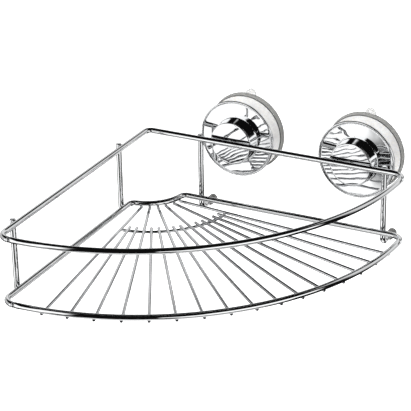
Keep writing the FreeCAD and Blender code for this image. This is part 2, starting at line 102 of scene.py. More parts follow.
def add_node(
    tree: bpy.types.NodeTree,
    kind: str,
    links: dict[str | int, bpy.types.NodeSocket] | None = None,
    values: dict[str | int, object] | None = None,
    **settings: object,
) -> bpy.types.Node:
    """Adds a shader node with its settings, its constant inputs and its links.

    Args:
        tree: the node tree that gets the node.
        kind: the node's type, such as "ShaderNodeTexNoise".
        links: input name or number to the output socket that feeds it.
        values: input name or number to its constant value.
        **settings: attributes of the node itself.

    Returns:
        The new node.
    """
    node = tree.nodes.new(kind)
    for name, value in settings.items():
        setattr(node, name, value)
    for key, value in (values or {}).items():
        node.inputs[key].default_value = value
    for key, socket in (links or {}).items():
        tree.links.new(socket, node.inputs[key])
    return node


def per_mm(size_mm: float) -> float:
    """The texture scale at which a pattern repeats about once in that many millimetres."""
    return 1000.0 / size_mm


# ------------------------------------------------------------------ finishes


@dataclass(frozen=True)
class Finish:
    """A material made from nodes; each kind of finish fills in its own nodes."""

    name: str

    def new_tree(self) -> tuple[bpy.types.Material, bpy.types.NodeTree, bpy.types.NodeSocket]:
        """Starts the material with nothing in it but its output.

        Returns:
            The material, its node tree and its surface socket.
        """
        material = bpy.data.materials.new(self.name)
        material.use_nodes = True
        tree = material.node_tree
        tree.nodes.clear()
        output = add_node(tree, "ShaderNodeOutputMaterial")
        return material, tree, output.inputs["Surface"]

    def build(self) -> bpy.types.Material:
        """Makes the material."""
        raise NotImplementedError


@dataclass(frozen=True)
class ChromePlate(Finish):
    """Bright decorative chromium over polished steel wire or moulded plastic.

    It gives the eye a neutral mirror: sharp dark and light bands that follow the form, bent a
    little by the base's waviness, with a very faint haze from wiping.
    """

    tint: str = "ECEDEE"
    low_roughness: float = 0.015
    high_roughness: float = 0.05
    wave_mm: float = 9.0
    wave_depth_mm: float = 0.003
    haze_mm: float = 18.0

    def build(self) -> bpy.types.Material:
        """Makes the chrome with its waviness and haze.

        Returns:
            The material.
        """
        material, tree, surface = self.new_tree()
        place = add_node(tree, "ShaderNodeTexCoord").outputs["Object"]
        haze = add_node(
            tree, "ShaderNodeTexNoise", {"Vector": place},
            {"Scale": per_mm(self.haze_mm), "Detail": 4.0, "Roughness": 0.6},
        )
        rough = add_node(
            tree, "ShaderNodeMapRange", {"Value": haze.outputs["Fac"]},
            {"From Min": 0.35, "From Max": 0.7, "To Min": self.low_roughness,
             "To Max": self.high_roughness},
        )
        wave = add_node(
            tree, "ShaderNodeTexNoise", {"Vector": place},
            {"Scale": per_mm(self.wave_mm), "Detail": 1.5, "Roughness": 0.4},
        )
        bump = add_node(
            tree, "ShaderNodeBump", {"Height": wave.outputs["Fac"]},
            {"Strength": 1.0, "Distance": self.wave_depth_mm / 1000},
        )
        shader = add_node(
            tree, "ShaderNodeBsdfPrincipled",
            {"Roughness": rough.outputs["Result"], "Normal": bump.outputs["Normal"]},
            {"Base Color": srgb(self.tint), "Metallic": 1.0},
        )
        tree.links.new(shader.outputs["BSDF"], surface)
        return material


@dataclass(frozen=True)
class FrostedPolypropylene(Finish):
    """Natural polypropylene moulded against a spark-eroded tool.

    It gives the eye a milky, warm white that light soaks into, with a fine even grain and a
    broad soft sheen.
    """

    light: str = "EEEDEB"
    shade: str = "D9D8D7"
    roughness: float = 0.42
    speckle_mm: float = 1.1
    grain_mm: float = 0.45
    grain_depth_mm: float = 0.02
    flow_mm: float = 16.0
    scatter_mm: float = 3.0

    def build(self) -> bpy.types.Material:
        """Makes the milky plastic with its grain and its cloudy flow marks.

        Returns:
            The material.
        """
        material, tree, surface = self.new_tree()
        place = add_node(tree, "ShaderNodeTexCoord").outputs["Object"]
        flow = add_node(
            tree, "ShaderNodeTexNoise", {"Vector": place},
            {"Scale": per_mm(self.flow_mm), "Detail": 3.0},
        )
        # the real grain is about 0.1 mm; its speckle is drawn coarser so that it shows
        speckle = add_node(
            tree, "ShaderNodeTexNoise", {"Vector": place},
            {"Scale": per_mm(self.speckle_mm), "Detail": 1.0},
        )
        cloud = add_node(
            tree, "ShaderNodeMath",
            {0: flow.outputs["Fac"], 1: speckle.outputs["Fac"]}, operation="MULTIPLY",
        )
        spread = add_node(
            tree, "ShaderNodeMapRange", {"Value": cloud.outputs[0]},
            {"From Min": 0.12, "From Max": 0.36},
        )
        colour = add_node(
            tree, "ShaderNodeMix", {"Factor": spread.outputs["Result"]},
            {6: srgb(self.shade), 7: srgb(self.light)}, data_type="RGBA",
        )
        grain = add_node(
            tree, "ShaderNodeTexNoise", {"Vector": place},
            {"Scale": per_mm(self.grain_mm), "Detail": 2.0},
        )
        bump = add_node(
            tree, "ShaderNodeBump", {"Height": grain.outputs["Fac"]},
            {"Strength": 1.0, "Distance": self.grain_depth_mm / 1000},
        )
        shader = add_node(
            tree, "ShaderNodeBsdfPrincipled",
            {"Base Color": colour.outputs[2], "Normal": bump.outputs["Normal"]},
            {"Roughness": self.roughness, "IOR": 1.49, "Subsurface Weight": 0.35,
             "Subsurface Radius": (1.0, 0.9, 0.75), "Subsurface Scale": self.scatter_mm / 1000},
        )
        tree.links.new(shader.outputs["BSDF"], surface)
        return material


@dataclass(frozen=True)
class ClearVinyl(Finish):
    """Soft clear PVC, moulded glossy.

    It gives the eye a smoky glass: some light passes through, and the skin has a soft uneven
    gloss. Painted shade in its colour turns the rims dark grey where the light's way through gets
    long, where it sits on the wall and, where a crest is given, along the lip's crest.
    """

    tint: str = "B0B0AD"
    # the colour of the painted shade on the rims, by the wall and along the crest
    rim_shade_tint: str = "4E4F50"
    sole_shade_mm: float = 1.2
    crest_shade_mm: float = 0.0
    roughness: float = 0.16
    body: float = 0.6
    ripple_mm: float = 5.0
    ripple_depth_mm: float = 0.03

    def build(self) -> bpy.types.Material:
        """Makes the vinyl as part clear, part milky.

        The object's Y is the distance from the wall, so the painted shade follows the levels where
        the pad sits on the wall and where its lip ends.

        Returns:
            The material.
        """
        material, tree, surface = self.new_tree()
        place = add_node(tree, "ShaderNodeTexCoord").outputs["Object"]
        ripple = add_node(
            tree, "ShaderNodeTexNoise", {"Vector": place},
            {"Scale": per_mm(self.ripple_mm), "Detail": 2.0},
        )
        bump = add_node(
            tree, "ShaderNodeBump", {"Height": ripple.outputs["Fac"]},
            {"Strength": 1.0, "Distance": self.ripple_depth_mm / 1000},
        )
        rough = add_node(
            tree, "ShaderNodeMapRange", {"Value": ripple.outputs["Fac"]},
            {"From Min": 0.3, "From Max": 0.7, "To Min": self.roughness * 0.7,
             "To Max": self.roughness * 1.3},
        )
        # painted shade: the colour darkens where the surface turns away from the eye
        turning = add_node(
            tree, "ShaderNodeLayerWeight", {"Normal": bump.outputs["Normal"]}, {"Blend": 0.35})
        painted_rim_shade = add_node(
            tree, "ShaderNodeMapRange", {"Value": turning.outputs["Facing"]},
            {"From Min": 0.35, "From Max": 0.95},
        )
        # painted shade where the vinyl sits on the wall: faces that do not turn to the wall darken
        # near it
        depth = add_node(tree, "ShaderNodeSeparateXYZ", {0: place}).outputs["Y"]
        painted_sole_shade = add_node(
            tree, "ShaderNodeMapRange", {"Value": depth},
            {"From Min": -self.sole_shade_mm / 1000, "From Max": -self.sole_shade_mm / 2000, "To Max": 0.8},
        )
        facing = add_node(tree, "ShaderNodeNewGeometry").outputs["Normal"]
        to_wall = add_node(tree, "ShaderNodeSeparateXYZ", {0: facing}).outputs["Y"]
        away = add_node(
            tree, "ShaderNodeMapRange", {"Value": to_wall},
            {"From Min": 0.3, "From Max": 0.8, "To Min": 1.0, "To Max": 0.0},
        )
        flank = add_node(
            tree, "ShaderNodeMath", {0: painted_sole_shade.outputs["Result"], 1: away.outputs["Result"]},
            operation="MULTIPLY",
        )
        # the strongest of the painted shades rules the colour
        dark = add_node(
            tree, "ShaderNodeMath", {0: painted_rim_shade.outputs["Result"], 1: flank.outputs[0]},
            operation="MAXIMUM",
        )
        # painted shade: a dark line at the lip's crest, which also darkens all that lies beyond it
        if self.crest_shade_mm:
            painted_crest_shade = add_node(
                tree, "ShaderNodeMapRange", {"Value": depth},
                {"From Min": (0.4 - self.crest_shade_mm) / 1000, "From Max": -self.crest_shade_mm / 1000},
            )
            dark = add_node(
                tree, "ShaderNodeMath", {0: dark.outputs[0], 1: painted_crest_shade.outputs["Result"]},
                operation="MAXIMUM",
            )
        # the painted shade is mixed into the vinyl's own colour
        colour = add_node(
            tree, "ShaderNodeMix", {"Factor": dark.outputs[0]},
            {6: srgb(self.tint), 7: srgb(self.rim_shade_tint)}, data_type="RGBA",
        )
        shader = add_node(
            tree, "ShaderNodeBsdfPrincipled",
            {"Base Color": colour.outputs[2], "Roughness": rough.outputs["Result"],
             "Normal": bump.outputs["Normal"]},
            {"IOR": 1.53, "Transmission Weight": self.body},
        )
        tree.links.new(shader.outputs["BSDF"], surface)
        return material


@dataclass(frozen=True)
class SatinPlastic(Finish):
    """Unfilled engineering plastic, moulded satin, such as nylon or acetal.

    It gives the eye a quiet off-white with a waxy sheen and a faint turned grain.
    """

    light: str = "F1F0EB"
    shade: str = "E3E1D8"
    roughness: float = 0.45
    grain_mm: float = 0.8
    grain_depth_mm: float = 0.01

    def build(self) -> bpy.types.Material:
        """Makes the satin plastic.

        Returns:
            The material.
        """
        material, tree, surface = self.new_tree()
        place = add_node(tree, "ShaderNodeTexCoord").outputs["Object"]
        grain = add_node(
            tree, "ShaderNodeTexNoise", {"Vector": place},
            {"Scale": per_mm(self.grain_mm), "Detail": 3.0},
        )
        colour = add_node(
            tree, "ShaderNodeMix", {"Factor": grain.outputs["Fac"]},
            {6: srgb(self.shade), 7: srgb(self.light)}, data_type="RGBA",
        )
        bump = add_node(
            tree, "ShaderNodeBump", {"Height": grain.outputs["Fac"]},
            {"Strength": 1.0, "Distance": self.grain_depth_mm / 1000},
        )
        shader = add_node(
            tree, "ShaderNodeBsdfPrincipled",
            {"Base Color": colour.outputs[2], "Normal": bump.outputs["Normal"]},
            {"Roughness": self.roughness, "IOR": 1.51, "Subsurface Weight": 0.1,
             "Subsurface Scale": 0.002},
        )
        tree.links.new(shader.outputs["BSDF"], surface)
        return material


@dataclass(frozen=True)
class TurnedBrass(Finish):
    """Free-cutting brass, turned.

    It gives the eye a warm yellow metal with fine rings from the tool.
    """

    tint: str = "D9B872"
    ring_mm: float = 0.4

    def build(self) -> bpy.types.Material:
        """Makes the brass with its turning rings.

        Returns:
            The material.
        """
        material, tree, surface = self.new_tree()
        place = add_node(tree, "ShaderNodeTexCoord").outputs["Object"]
        # a wave of scale 1 repeats every tenth of pi
        rings = add_node(
            tree, "ShaderNodeTexWave", {"Vector": place},
            {"Scale": per_mm(self.ring_mm) * math.pi / 10, "Distortion": 0.6},
            bands_direction="Y",
        )
        rough = add_node(
            tree, "ShaderNodeMapRange", {"Value": rings.outputs["Fac"]},
            {"To Min": 0.18, "To Max": 0.34},
        )
        shader = add_node(
            tree, "ShaderNodeBsdfPrincipled", {"Roughness": rough.outputs["Result"]},
            {"Base Color": srgb(self.tint), "Metallic": 1.0},
        )
        tree.links.new(shader.outputs["BSDF"], surface)
        return material


class Coat(Enum):
    """The finishes of the caddy's pieces, each with the record's slot that it dresses."""

    # heavy wire, polished before plating: a clean mirror
    RAIL = ("chromed_rail", ChromePlate("Chrome plated rail wire"))
    # thin wire, plated as drawn: a softer, greyer mirror
    SHELF = ("chromed_shelf_wire", ChromePlate(
        "Chrome plated shelf wire", tint="E6E7E9", low_roughness=0.07, high_roughness=0.14,
        wave_mm=6.0))
    CROSS = ("chromed_shelf_wire", ChromePlate(
        "Chrome plated cross wire", tint="DCDDDF", wave_mm=6.0))
    # the cut faces take little plating: dull and dark, with the shear's torn grain
    SHEARED = ("chromed_shelf_wire", ChromePlate(
        "Thinly plated sheared wire end", tint="5C5E60", low_roughness=0.3, high_roughness=0.5,
        wave_mm=0.8, wave_depth_mm=0.05))
    # a thin moulding that sinks a little as it cools: a clean mirror with long wavy streaks
    DIAL = ("plated_dial", ChromePlate(
        "Chrome plated ABS dial", low_roughness=0.01, high_roughness=0.03, wave_mm=13.0,
        wave_depth_mm=0.11))
    HOUSING = ("frosted_housing", FrostedPolypropylene("Frosted polypropylene housing"))
    # the pad also gets a painted dark line along its lip's crest
    PAD = ("clear_pad", ClearVinyl("Clear vinyl suction pad", tint="D2D2CF", crest_shade_mm=4.6))
    # thin enough to look almost colourless; its painted rim shade is lighter and keeps closer to
    # the wall
    TAB = ("clear_pad", ClearVinyl(
        "Clear vinyl peeling tab", tint="EFEFEE", rim_shade_tint="8C8D8E", sole_shade_mm=0.3))
    STUD = ("stud_plastic", SatinPlastic("Natural nylon stud"))
    WASHER = ("washer_plastic", SatinPlastic(
        "White acetal washer", light="F6F6F3", shade="ECECE8", roughness=0.35))
    NUT = ("nut_brass", TurnedBrass("Turned brass nut"))
    # thick all round, so it looks darker than the pad
    BUMPER = ("clear_bumper", ClearVinyl("Clear vinyl bumper", tint="8A8A88", body=0.55))

    @property
    def slot(self) -> str:
        """The name of the record's material slot."""
        return self.value[0]


class Wardrobe:
    """Builds each finish once and dresses pieces in it."""

    def __init__(self) -> None:
        """Makes every material."""
        self.made = {coat: coat.value[1].build() for coat in Coat}

    def dress(self, piece: bpy.types.Object, coat: Coat) -> None:
        """Gives the piece that finish alone.

        Args:
            piece: a new piece, or a CAD node that stays.
            coat: the finish that it gets.
        """
        piece.data.materials.clear()
        piece.data.materials.append(self.made[coat])


# ------------------------------------------------------------------ mesh building

SAME_SPOT = 1e-7
CORNER_STEP = 15
END_ROUND_ANGLES = (0, 18, 36, 54, 72, 90)

def new_object(name: str, mesh: bpy.types.Mesh) -> bpy.types.Object:
    """Links a smooth-shaded object for the mesh into the scene.

    Args:
        name: the object's name.
        mesh: its finished mesh.

    Returns:
        The object.
    """
    mesh.shade_smooth()
    piece = bpy.data.objects.new(name, mesh)
    bpy.context.scene.collection.objects.link(piece)
    return piece


def even_normals(piece: bpy.types.Object) -> None:
    """Lets large faces rule the shading, so that flats stay flat beside small rounds.

    Args:
        piece: the object that gets the modifier.
    """
    weighting = piece.modifiers.new("Even normals", "WEIGHTED_NORMAL")
    weighting.weight = 90
    weighting.keep_sharp = True


def arc_points(centre: Point, radius: float, start: float, end: float, step: float) -> list[Point]:
    """Points along an arc.

    Args:
        centre: the arc's centre.
        radius: its radius.
        start: the start angle in degrees.
        end: the end angle in degrees; less than start runs clockwise.
        step: the largest angle between two points, in degrees.

    Returns:
        The points, both ends included.
    """
    count = max(2, math.ceil(abs(end - start) / step) + 1)
    angles = [math.radians(start + (end - start) * i / (count - 1)) for i in range(count)]
    return [(centre[0] + radius * math.cos(a), centre[1] + radius * math.sin(a)) for a in angles]


def rounded_corners(corners: Sequence[tuple[float, float, float]], closed: bool) -> list[Point]:
    """A polygon whose corners are rounded by arcs.

    Args:
        corners: x, y and the rounding radius of each corner.
        closed: whether the last corner joins the first.

    Returns:
        The outline's points.
    """
    outline: list[Point] = []
    count = len(corners)
    for i, (x, y, radius) in enumerate(corners):
        is_end = not closed and i in (0, count - 1)
        if is_end or radius <= 0:
            outline.append((x, y))
            continue
        here = Vector((x, y))
        before = (Vector(corners[i - 1][:2]) - here).normalized()
        after = (Vector(corners[(i + 1) % count][:2]) - here).normalized()
        half = before.angle(after) / 2
        start = here + before * (radius / math.tan(half))
        end = here + after * (radius / math.tan(half))
        centre = here + (before + after).normalized() * (radius / math.sin(half))
        first = math.degrees(math.atan2(*(start - centre).yx))
        last = math.degrees(math.atan2(*(end - centre).yx))
        turn = (last - first + 180) % 360 - 180
        outline += arc_points((centre.x, centre.y), radius, first, first + turn, CORNER_STEP)
    return outline


def drop_repeats(points: Iterable[Vector]) -> list[Vector]:
    """The points without those that repeat the one before.

    Args:
        points: the points in order.

    Returns:
        The points that are left.
    """
    kept: list[Vector] = []
    for point in points:
        if not kept or (point - kept[-1]).length > SAME_SPOT:
            kept.append(point)
    return kept


def tube(
    name: str,
    line: Iterable[Vector],
    normal: Vector,
    radius: float,
    closed: bool = False,
    sides: int = 40,
    end_round: tuple[float, float] = (0.0, 0.0),
) -> bpy.types.Object:
    """A round wire along a line that lies in one plane.

    Args:
        name: the piece's name.
        line: the points of the wire's centre.
        normal: the normal of the plane that holds the line.
        radius: the wire's radius.
        closed: whether the line closes on itself.
        sides: how many points each ring of the tube has.
        end_round: the rounding of the edge at the first and at the last end.

    Returns:
        The tube as a smooth mesh object.
    """
    points = drop_repeats(line)
    if closed and (points[0] - points[-1]).length < SAME_SPOT:
        points.pop()
    count = len(points)
    rings: list[tuple[Vector, Vector, float]] = []
    for i, point in enumerate(points):
        back = points[i - 1] if i or closed else None
        ahead = points[(i + 1) % count] if i < count - 1 or closed else None
        tangent = Vector()
        if back is not None:
            tangent += (point - back).normalized()
        if ahead is not None:
            tangent += (ahead - point).normalized()
        rings.append((point, tangent.normalized(), radius))
    if not closed:
        for last, size in ((False, end_round[0]), (True, end_round[1])):
            if size <= 0:
                continue
            centre, tangent, _ = rings[-1] if last else rings[0]
            out = tangent if last else -tangent
            ends = [
                (centre - out * size * (1 - math.sin(math.radians(a))), tangent,
                 radius - size * (1 - math.cos(math.radians(a))))
                for a in END_ROUND_ANGLES
            ]
            rings = rings[:-1] + ends if last else ends[::-1] + rings[1:]
    mesh = bpy.data.meshes.new(name)
    build = bmesh.new()
    loops = []
    for centre, tangent, size in rings:
        side = normal.cross(tangent).normalized()
        angles = (2 * math.pi * j / sides for j in range(sides))
        loops.append([
            build.verts.new(centre + (side * math.cos(a) + normal * math.sin(a)) * size)
            for a in angles
        ])
    spans = len(loops) if closed else len(loops) - 1
    for i in range(spans):
        first, second = loops[i], loops[(i + 1) % len(loops)]
        for j in range(sides):
            k = (j + 1) % sides
            build.faces.new((first[j], first[k], second[k], second[j]))
    if not closed:
        build.faces.new(loops[0][::-1])
        build.faces.new(loops[-1])
    bmesh.ops.recalc_face_normals(build, faces=build.faces)
    build.to_mesh(mesh)
    build.free()
    return new_object(name, mesh)


def lathe(
    name: str,
    outline: Sequence[Level],
    place: Matrix,
    segments: int = 192,
    shift: Callable[[float, float, float], float] | None = None,
) -> bpy.types.Object:
    """A turned piece: a closed outline of radius and level swept round the local Z axis.

    Args:
        name: the piece's name.
        outline: the (radius, level) points of the closed section; a radius of 0 is the axis.
        place: the matrix from the piece's own axes to the row frame.
        segments: how many steps one turn takes.
        shift: gives an extra radius from the angle, the radius and the level.

    Returns:
        The turned piece as a smooth mesh object.
    """
    mesh = bpy.data.meshes.new(name)
    build = bmesh.new()
    columns: list[list[bmesh.types.BMVert]] = []
    for radius, level in outline:
        if radius < SAME_SPOT:
            pole = build.verts.new(place @ Vector((0, 0, level)))
            columns.append([pole] * segments)
            continue
        column = []
        for j in range(segments):
            angle = 2 * math.pi * j / segments
            grown = radius + (shift(angle, radius, level) if shift else 0.0)
            spot = Vector((grown * math.cos(angle), grown * math.sin(angle), level))
            column.append(build.verts.new(place @ spot))
        columns.append(column)
    for i, first in enumerate(columns):
        second = columns[(i + 1) % len(columns)]
        for j in range(segments):
            k = (j + 1) % segments
            corners = list(dict.fromkeys((first[j], first[k], second[k], second[j])))
            if len(corners) > 2:
                build.faces.new(corners)
    bmesh.ops.recalc_face_normals(build, faces=build.faces)
    build.to_mesh(mesh)
    build.free()
    return new_object(name, mesh)


def weld_beads(name: str, spots: Sequence[tuple[Vector, Vector, float, float]]) -> bpy.types.Object:
    """The little flowed beads that resistance welds leave where two wires cross.

    Args:
        name: the piece's name.
        spots: the middle of each weld, the direction from one wire to the other, the bead's
            half width and its half thickness.

    Returns:
        One object with all the beads.
    """
    mesh = bpy.data.meshes.new(name)
    build = bmesh.new()
    for centre, across, width, thickness in spots:
        turn = across.to_track_quat("Z", "Y").to_matrix().to_4x4()
        made = bmesh.ops.create_icosphere(build, subdivisions=3, radius=1.0)
        for vert in made["verts"]:
            wobble = 1 + 0.12 * noise.noise(vert.co * 1.7 + centre * 300)
            local = Vector((vert.co.x * width, vert.co.y * width, vert.co.z * thickness))
            vert.co = centre + turn @ (local * wobble)
    build.to_mesh(mesh)
    build.free()
    return new_object(name, mesh)


# ------------------------------------------------------------------ basket


@dataclass
class WireBasket:
    """The welded basket: two rails, four posts, the fan of shelf wires and what sits on them.

    Sizes are in metres. Levels and thicknesses are read from the frame. Welds are kept as they
    come up and made last.
    """

    wardrobe: Wardrobe
    arc_inset: float = 0.0089
    apex_bend: float = 0.006
    front_bend: float = 0.011
    rear_arc_radius: float = 0.0335
    rear_bend: float = 0.006
    hook_bend: float = 0.006
    post_round: float = 0.0009
    wire_round: float = 0.0003
    bumper_round: float = 0.0009
    bumper_mouth_round: float = 0.0004
    bumper_bore_round: float = 0.0002
    bumper_bore_gap: float = 0.00006
    wire_count: int = 16
    long_wire_step: int = 3
    cross_centre: Point = (0.0068, 0.0026)
    cross_radius: float = 0.0736
    cross_start: float = 84.0
    cross_swing: float = 77.2
    weld_bite: float = 0.00025
    post_bead: tuple[float, float] = (0.0019, 0.0011)
    wire_bead_share: tuple[float, float] = (0.9, 0.55)
    wire_bead_inset: float = 0.0009
    cut_face_limit: float = 0.9
    corner: Vector = field(init=False)
    rail_radius: float = field(init=False)
    front_radius: float = field(init=False)
    welds: list[tuple[Vector, Vector, float, float]] = field(init=False)

    def __post_init__(self) -> None:
        """Reads the rails' corner, thickness and front arc from the frame."""
        low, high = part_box("top_rail")
        self.rail_radius = (high.z - low.z) / 2
        self.corner = Vector((low.x + self.rail_radius, high.y - self.rail_radius, 0))
        self.front_radius = high.x - low.x - 2 * self.rail_radius - self.arc_inset
        self.welds = []

    def level_of(self, node: str) -> float:
        """The height of a level wire's centre."""
        low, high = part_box(node)
        return (low.z + high.z) / 2

    def at(self, across: float, away: float, level: float) -> Vector:
        """A point by its distances from the open side's and the cup side's rail."""
        return Vector((self.corner.x + across, self.corner.y - away, level))

    def rail_line(self, level: float, concave_rear: bool) -> list[Vector]:
        """The closed line of a rail: two sides, the front arc and the bends between them.

        Args:
            level: the height of the wire's centre.
            concave_rear: whether a hollow arc cuts the rear corner, or a bend rounds it.

        Returns:
            The points of the wire's centre; both halves mirror each other.
        """
        inset, bend, front = self.arc_inset, self.front_bend, self.front_radius
        side_end = inset + math.sqrt((front - bend) ** 2 - (bend - inset) ** 2)
        turn = math.degrees(math.atan2(bend - inset, side_end - inset))
        half: list[Point] = []
        if concave_rear:
            rear, corner_bend = self.rear_arc_radius, self.rear_bend
            side_start = math.sqrt(rear ** 2 + 2 * rear * corner_bend)
            rear_turn = math.degrees(math.atan2(corner_bend, side_start))
            half += arc_points((0, 0), rear, 45, rear_turn, 2.5)
            half += arc_points((side_start, corner_bend), corner_bend, 180 + rear_turn, 270, 5)
        else:
            centre = (self.apex_bend, self.apex_bend)
            half += arc_points(centre, self.apex_bend, 225, 270, 5)
        half += arc_points((side_end, bend), bend, -90, -turn, 5)
        half += arc_points((inset, inset), front, -turn, 45, 1.5)
        other = [(y, x) for x, y in reversed(half)]
        return [self.at(x, y, level) for x, y in half + other]

    def make_rail(self, node: str, concave_rear: bool) -> bpy.types.Object:
        """Bends one rail from wire and puts it in place of its CAD solid.

        Args:
            node: the rail's node.
            concave_rear: whether a hollow arc cuts the rear corner.

        Returns:
            The rail.
        """
        line = self.rail_line(self.level_of(node), concave_rear)
        piece = tube(node + "_wire", line, Vector((0, 0, 1)), self.rail_radius, closed=True)
        return self.settle(piece, node, Coat.RAIL)

    def settle(self, piece: bpy.types.Object, node: str, coat: Coat) -> bpy.types.Object:
        """Dresses a piece and lets it stand for its node on the basket.

        Args:
            piece: the new piece.
            node: the CAD node that it replaces.
            coat: its finish.

        Returns:
            The same piece.
        """
        self.wardrobe.dress(piece, coat)
        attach(piece, "basket")
        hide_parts(node)
        log.info("%s: %d faces", piece.name, len(piece.data.polygons))
        return piece

    def make_straight_post(self, node: str) -> bpy.types.Object:
        """A straight post behind the open side's rails, with rounded ends.

        Args:
            node: the post's node.

        Returns:
            The post.
        """
        low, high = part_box(node)
        x, y = (low.x + high.x) / 2, (low.y + high.y) / 2
        line = [Vector((x, y, low.z)), Vector((x, y, high.z))]
        ends = (self.post_round, self.post_round)
        piece = tube(node + "_wire", line, Vector((1, 0, 0)), (high.x - low.x) / 2, end_round=ends)
        for rail in ("top_rail", "bottom_rail"):
            joint = Vector((self.corner.x - self.rail_radius, y, self.level_of(rail)))
            self.welds.append((joint, Vector((1, 0, 0)), *self.post_bead))
        return self.settle(piece, node, Coat.RAIL)

    def make_hooked_post(self, node: str) -> bpy.types.Object:
        """A post behind the cup side's rails whose foot turns towards the wall.

        Args:
            node: the post's node.

        Returns:
            The post.
        """
        low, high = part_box(node)
        radius = (high.x - low.x) / 2
        x = (low.x + high.x) / 2
        y = low.y + radius
        foot = low.z + radius
        bend = self.hook_bend
        quarter = arc_points((y + bend, foot + bend), bend, 180, 270, 4)
        line = [Vector((x, y, high.z))]
        line += [Vector((x, b, c)) for b, c in quarter]
        line.append(Vector((x, high.y, foot)))
        for rail in ("top_rail", "bottom_rail"):
            joint = Vector((x, self.corner.y + self.rail_radius, self.level_of(rail)))
            self.welds.append((joint, Vector((0, 1, 0)), *self.post_bead))
        ends = (self.post_round, 0.0)
        piece = tube(node + "_wire", line, Vector((1, 0, 0)), radius, end_round=ends)
        return self.settle(piece, node, Coat.RAIL)

    def make_bumper(self, node: str, post: str) -> bpy.types.Object:
        """The soft clear cap on a hooked post's end.

        Args:
            node: the cap's node.
            post: the node of the post that it sits on.

        Returns:
            The cap.
        """
        low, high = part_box(node)
        radius = (high.x - low.x) / 2
        post_low, post_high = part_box(post)
        bore = (post_high.x - post_low.x) / 2 + self.bumper_bore_gap
        end = post_high.y + self.bumper_bore_gap
        centre = ((low.x + high.x) / 2, (low.z + high.z) / 2)
        place = Matrix.Translation((centre[0], 0, centre[1])) @ Matrix.Rotation(
            -math.pi / 2, 4, "X")
        outline = rounded_corners([
            (0.0, high.y, 0.0),
            (radius, high.y, self.bumper_round),
            (radius, low.y, self.bumper_mouth_round),
            (bore, low.y, self.bumper_bore_round),
            (bore, end, self.bumper_bore_round),
            (0.0, end, 0.0),
        ], closed=False)
        piece = lathe(node + "_cap", outline, place, 64)
        even_normals(piece)
        return self.settle(piece, node, Coat.BUMPER)

    def make_shelf_wire(self, node: str) -> bpy.types.Object:
        """One straight wire of the fan, with its dull cut end in front and its welds.

        Args:
            node: the wire's node.

        Returns:
            The wire.
        """
        mesh = frame["nodes"][node].data
        far = max(mesh.vertices, key=lambda v: (v.co.xy - self.corner.xy).length).co
        near = min(mesh.vertices, key=lambda v: (v.co.xy - self.corner.xy).length).co
        low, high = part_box(node)
        radius = (high.z - low.z) / 2
        level = (low.z + high.z) / 2
        along = Vector((far.x - near.x, far.y - near.y, 0)).normalized()
        side = Vector((-along.y, along.x, 0))
        reach = [(v.co.dot(along), v.co.dot(side)) for v in mesh.vertices]
        middle = (min(s for _, s in reach) + max(s for _, s in reach)) / 2
        ends = (min(a for a, _ in reach), max(a for a, _ in reach))
        line = [along * a + side * middle + Vector((0, 0, level)) for a in ends]
        rounds = (self.wire_round, self.wire_round)
        piece = tube(node + "_bar", line, Vector((0, 0, 1)), radius, sides=24, end_round=rounds)
        self.settle(piece, node, Coat.SHELF)
        piece.data.materials.append(self.wardrobe.made[Coat.SHEARED])
        for face in piece.data.polygons:
            if face.normal.dot(along) > self.cut_face_limit:
                face.material_index = 1
        self.mark_wire_welds(node, line, along, radius)
        return piece

    def mark_wire_welds(
        self, node: str, line: Sequence[Vector], along: Vector, radius: float,
    ) -> None:
        """Notes where a fan wire meets the bottom rail and the cross wire.

        Only each long wire, the first of every few, reaches the rail's hollow rear arc.

        Args:
            node: the wire's node, whose name ends in its number.
            line: the rear and the front end of the wire's centre.
            along: the wire's direction, from rear to front.
            radius: the wire's radius.
        """
        up = Vector((0, 0, 1))
        over = up * (radius - self.weld_bite / 2)
        inset = along * self.wire_bead_inset
        bead = [radius * share for share in self.wire_bead_share]
        self.welds.append((line[1] - inset + over, up, *bead))
        if (int(node[-2:]) - 1) % self.long_wire_step == 0:
            self.welds.append((line[0] + inset + over, up, *bead))
        hub = self.at(*self.cross_centre, line[0].z)
        past = (line[0] - hub).dot(along)
        off = (line[0] - hub - along * past).length
        crossing = line[0] + along * (math.sqrt(self.cross_radius ** 2 - off ** 2) - past)
        self.welds.append((crossing - over, up, *bead))

    def make_cross_wire(self, node: str) -> bpy.types.Object:
        """The curved wire that ties the fan together from below.

        Args:
            node: the wire's node.

        Returns:
            The wire.
        """
        low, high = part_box(node)
        level = (low.z + high.z) / 2
        sweep = arc_points((0, 0), self.cross_radius, self.cross_start,
                           self.cross_start - self.cross_swing, 1.5)
        across, away = self.cross_centre
        line = [self.at(across + x, away + y, level) for x, y in sweep]
        rounds = (self.wire_round, self.wire_round)
        piece = tube(node + "_bar", line, Vector((0, 0, 1)), (high.z - low.z) / 2, sides=24,
                     end_round=rounds)
        return self.settle(piece, node, Coat.CROSS)

    def make_welds(self) -> bpy.types.Object:
        """The beads at every crossing of two wires.

        Returns:
            One piece with all the beads.
        """
        piece = weld_beads("weld_beads", self.welds)
        self.wardrobe.dress(piece, Coat.RAIL)
        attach(piece, "basket")
        log.info("%s: %d welds", piece.name, len(self.welds))
        return piece

    def build(self) -> None:
        """Makes every piece of the basket."""
        self.make_rail("top_rail", concave_rear=False)
        self.make_rail("bottom_rail", concave_rear=True)
        for place in ("rear", "front"):
            self.make_straight_post(f"open_side_{place}_post")
        for side in ("left", "right"):
            self.make_hooked_post(f"cup_side_{side}_post")
            self.make_bumper(f"{side}_wall_bumper", f"cup_side_{side}_post")
            self.wardrobe.dress(frame["nodes"][f"{side}_hanging_pin"], Coat.RAIL)
        for number in range(1, self.wire_count + 1):
            self.make_shelf_wire(f"shelf_wire_{number:02d}")
        self.make_cross_wire("shelf_cross_wire")
        self.make_welds()


# ------------------------------------------------------------------ suction cups


